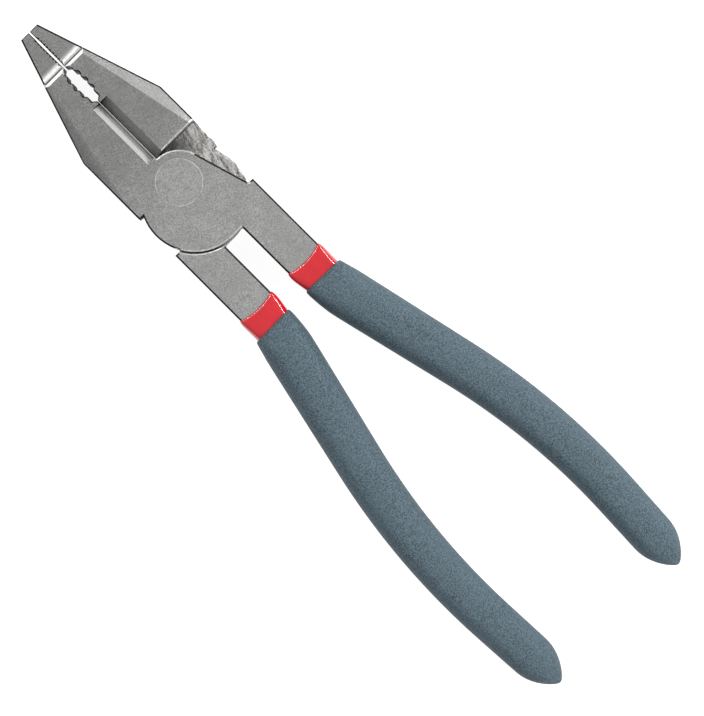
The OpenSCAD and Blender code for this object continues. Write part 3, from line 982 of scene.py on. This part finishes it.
def sleeve(side, material):
    """A sleeve whose lip dips in the middle of each face, with the tang's hollow inside it."""
    dip = 1.25 * MM
    rise = 0.35 * MM
    roll_depth = 0.26 * MM                 # the lip starts this much thinner on the steel,
    roll_run = 0.5 * MM                    # and rounds up over this length
    show = FOAM_START - LIP

    def lip_shift(s):
        fade = max(0.0, 1 - (s - LIP) / show)
        return lambda across: fade * (dip * (1 - across * across) - rise)

    lead = [LIP + d * MM for d in (0, 0.06, 0.14, 0.26, 0.42, 0.8, 1.6, 2.6)]
    outer = stations(lead + [FOAM_START, FOAM_START + GRIP_LEAD, SLEEVE_END - 3 * MM], 2.0 * MM)
    outer += closing(SLEEVE_END, 3 * MM, 5)
    rings = []
    for s in reversed(outer):
        round_off = blend(0.55, 1.0, end_round(s, SLEEVE_END, 3 * MM))
        w, t = sleeve_full(s)
        roll = roll_depth * max(0.0, 1 - (s - LIP) / roll_run) ** 2
        rings.append((s, ((w - roll) * round_off, (t - roll) * round_off), squareness(s), lip_shift(s)))
    inner = stations([LIP + 0.05 * MM, LIP + 1.2 * MM, FOAM_START, STEEL_END], 4.0 * MM)
    for s in inner:
        w, t = steel_half(s)
        gap = 0.03 * MM
        rings.append((s, (w + gap, t + gap), squareness(s) * 1.6, lip_shift(s)))
    piece = sock(f"{side}_vinyl_sleeve", rings, 48)
    finish_skin(piece, material, side)
    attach(piece, side)
    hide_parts(f"{side}_sleeve")


class PLIERS_OT_foam_covers(bpy.types.Operator):
    """Build the two foam covers with their soft front edges and tapered ends"""
    bl_idname = "pliers.foam_covers"
    bl_label = "Foam Covers"

    def execute(self, context):
        settings = context.scene.pliers_grip
        material = grey_foam(settings)
        for side in ("upper", "lower"):
            foam_cover(side, material)
        return {"FINISHED"}


def foam_cover(side, material):
    """A foam cover with a slightly slanted front, closed and rounded at its end."""
    slant = 1.5 * MM
    nose = 10 * MM

    def front_shift(s):
        fade = max(0.0, 1 - (s - FOAM_START) / FOAM_LEAD)
        return lambda across: slant / 2 * fade * across

    lead = [FOAM_START + FOAM_LEAD * u for u in (0, 0.03, 0.08, 0.16, 0.3, 0.5, 0.75, 1)]
    outer = stations(lead + [COURSE.s_end - nose], 1.6 * MM) + closing(COURSE.s_end, nose, 12)
    rings = []
    for s in reversed(outer):
        rise = blend(0.12, 1.0, math.sqrt(min(1.0, max(0.0, s - FOAM_START) / FOAM_LEAD)))
        round_off = blend(0.04, 1.0, end_round(s, COURSE.s_end, nose))
        w, t = sleeve_full(s)
        half = ((w + FOAM_WALL[0] * rise) * round_off, (t + FOAM_WALL[1] * rise) * round_off)
        square = blend(squareness(s), 2.8, ease((s - FOAM_START) / GRIP_LEAD))
        rings.append((s, half, square, front_shift(s)))
    for s in stations([FOAM_START + 0.1 * MM, FOAM_START + FOAM_LEAD, SLEEVE_END - 3 * MM], 4.0 * MM):
        w, t = sleeve_full(s)
        rings.append((s, (w + 0.05 * MM, t + 0.05 * MM), squareness(s), front_shift(s)))
    rings.append((SLEEVE_END + 0.4 * MM, (1.5 * MM, 1.5 * MM), 2.0, no_shift))
    piece = sock(f"{side}_foam_grip", rings, 48)
    finish_skin(piece, material, side)
    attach(piece, side)
    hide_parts(f"{side}_foam_cover")


# ---------------------------------------------------------------- stage

# name, place and point of aim in metres, long side, short side, watts
LAMPS = (
    ("key", (0.95, -0.85, 1.10), (0, -0.06, 0), 1.2, 0.9, 25.0),
    ("fill", (-0.85, -0.85, 1.15), (0, -0.06, 0), 1.2, 0.8, 3.0),
    ("low_strip", (0.90, -0.08, 0.62), (0, -0.06, 0), 0.5, 0.06, 4.6),
    ("lip_strip", (0.098, 1.03, 0.93), (0, 0, 0), 0.7, 0.04, 3.6),
    ("nose_soft", (0.10, 1.05, 0.95), (0, 0, 0), 1.4, 1.0, 6.0),
)


class PLIERS_OT_stage(bpy.types.Operator):
    """Lay a pale floor under the tool, light it softly and aim the camera straight down"""
    bl_idname = "pliers.stage"
    bl_label = "Stage"

    def execute(self, context):
        settings = context.scene.pliers_stage
        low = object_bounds()[0][2]
        bpy.ops.object.select_all(action="DESELECT")
        bpy.ops.mesh.primitive_plane_add(size=6.0, location=(0, 0, low))
        floor = name_piece(context.object, "floor")
        bpy.ops.object.transform_apply(location=True, rotation=False, scale=False)
        floor.data.materials.append(pale_floor(settings))
        floor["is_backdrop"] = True

        # The view is 180 mm across its longer side, with the nose towards the upper left corner.
        span = 0.1801
        sensor = 36
        target = Vector((-0.5 * MM, -61.9 * MM, 10 * MM))
        distance = settings.lens / sensor * span
        above = target + Vector((0, 0, distance))
        bpy.ops.object.camera_add(location=above, rotation=(0, 0, math.radians(-45)))
        camera = context.object
        camera.data.lens = settings.lens
        camera.data.sensor_width = sensor
        camera.data.clip_start = 0.01
        camera.data.dof.use_dof = False
        context.scene.camera = camera

        for row in LAMPS:
            lamp(*row)

        horizon, zenith = 0.25, 0.50
        world = bpy.data.worlds.new("studio")
        world.use_nodes = True
        tree = world.node_tree
        sky = tree.nodes["Background"]
        height = tree.nodes.new("ShaderNodeSeparateXYZ")
        tree.links.new(tree.nodes.new("ShaderNodeTexCoord").outputs["Generated"], height.inputs[0])
        ramp = tree.nodes.new("ShaderNodeMapRange")
        ramp.inputs["From Min"].default_value = 0.0
        ramp.inputs["From Max"].default_value = 0.8
        ramp.inputs["To Min"].default_value = horizon
        ramp.inputs["To Max"].default_value = zenith
        tree.links.new(height.outputs["Z"], ramp.inputs["Value"])
        tree.links.new(ramp.outputs[0], sky.inputs["Strength"])
        sky.inputs["Color"].default_value = (1.0, 1.0, 1.0, 1.0)
        context.scene.world = world
        context.scene.view_settings.view_transform = "Standard"
        return {"FINISHED"}


def lamp(name, place, aim, long_side, short_side, power):
    """A soft rectangular lamp whose long side lies across its own line of aim."""
    bpy.ops.object.light_add(type="AREA", location=place)
    light = bpy.context.object
    light.name = name
    light.data.name = name
    light.data.shape = "RECTANGLE"
    light.data.size = long_side
    light.data.size_y = short_side
    light.data.energy = power
    light.rotation_euler = (Vector(aim) - Vector(place)).to_track_quat("-Z", "Y").to_euler()
    return light


# ---------------------------------------------------------------- interface

class PLIERS_PT_build(bpy.types.Panel):
    bl_idname = "PLIERS_PT_build"
    bl_label = "Lineman Pliers"
    bl_space_type = "VIEW_3D"
    bl_region_type = "UI"
    bl_category = "Pliers"

    def draw(self, context):
        for operator in OPERATORS:
            self.layout.operator(operator.bl_idname)
        for group in (context.scene.pliers_steel, context.scene.pliers_grip, context.scene.pliers_stage):
            box = self.layout.box()
            for key in group.__annotations__:
                box.prop(group, key)


OPERATORS = (
    PLIERS_OT_forgings, PLIERS_OT_rivet, PLIERS_OT_sleeves, PLIERS_OT_foam_covers, PLIERS_OT_stage,
)
GROUPS = {
    "pliers_steel": PliersSteelSettings,
    "pliers_grip": PliersGripSettings,
    "pliers_stage": PliersStageSettings,
}


def register():
    for name, group in GROUPS.items():
        bpy.utils.register_class(group)
        setattr(bpy.types.Scene, name, bpy.props.PointerProperty(type=group))
    for made in OPERATORS + (PLIERS_PT_build,):
        bpy.utils.register_class(made)


def unregister():
    for made in reversed(OPERATORS + (PLIERS_PT_build,)):
        bpy.utils.unregister_class(made)
    for name, group in GROUPS.items():
        delattr(bpy.types.Scene, name)
        bpy.utils.unregister_class(group)


def main():
    register()
    bpy.ops.pliers.forgings()
    bpy.ops.pliers.rivet()
    bpy.ops.pliers.sleeves()
    bpy.ops.pliers.foam_covers()
    bpy.ops.pliers.stage()


if __name__ == "__main__":
    main()
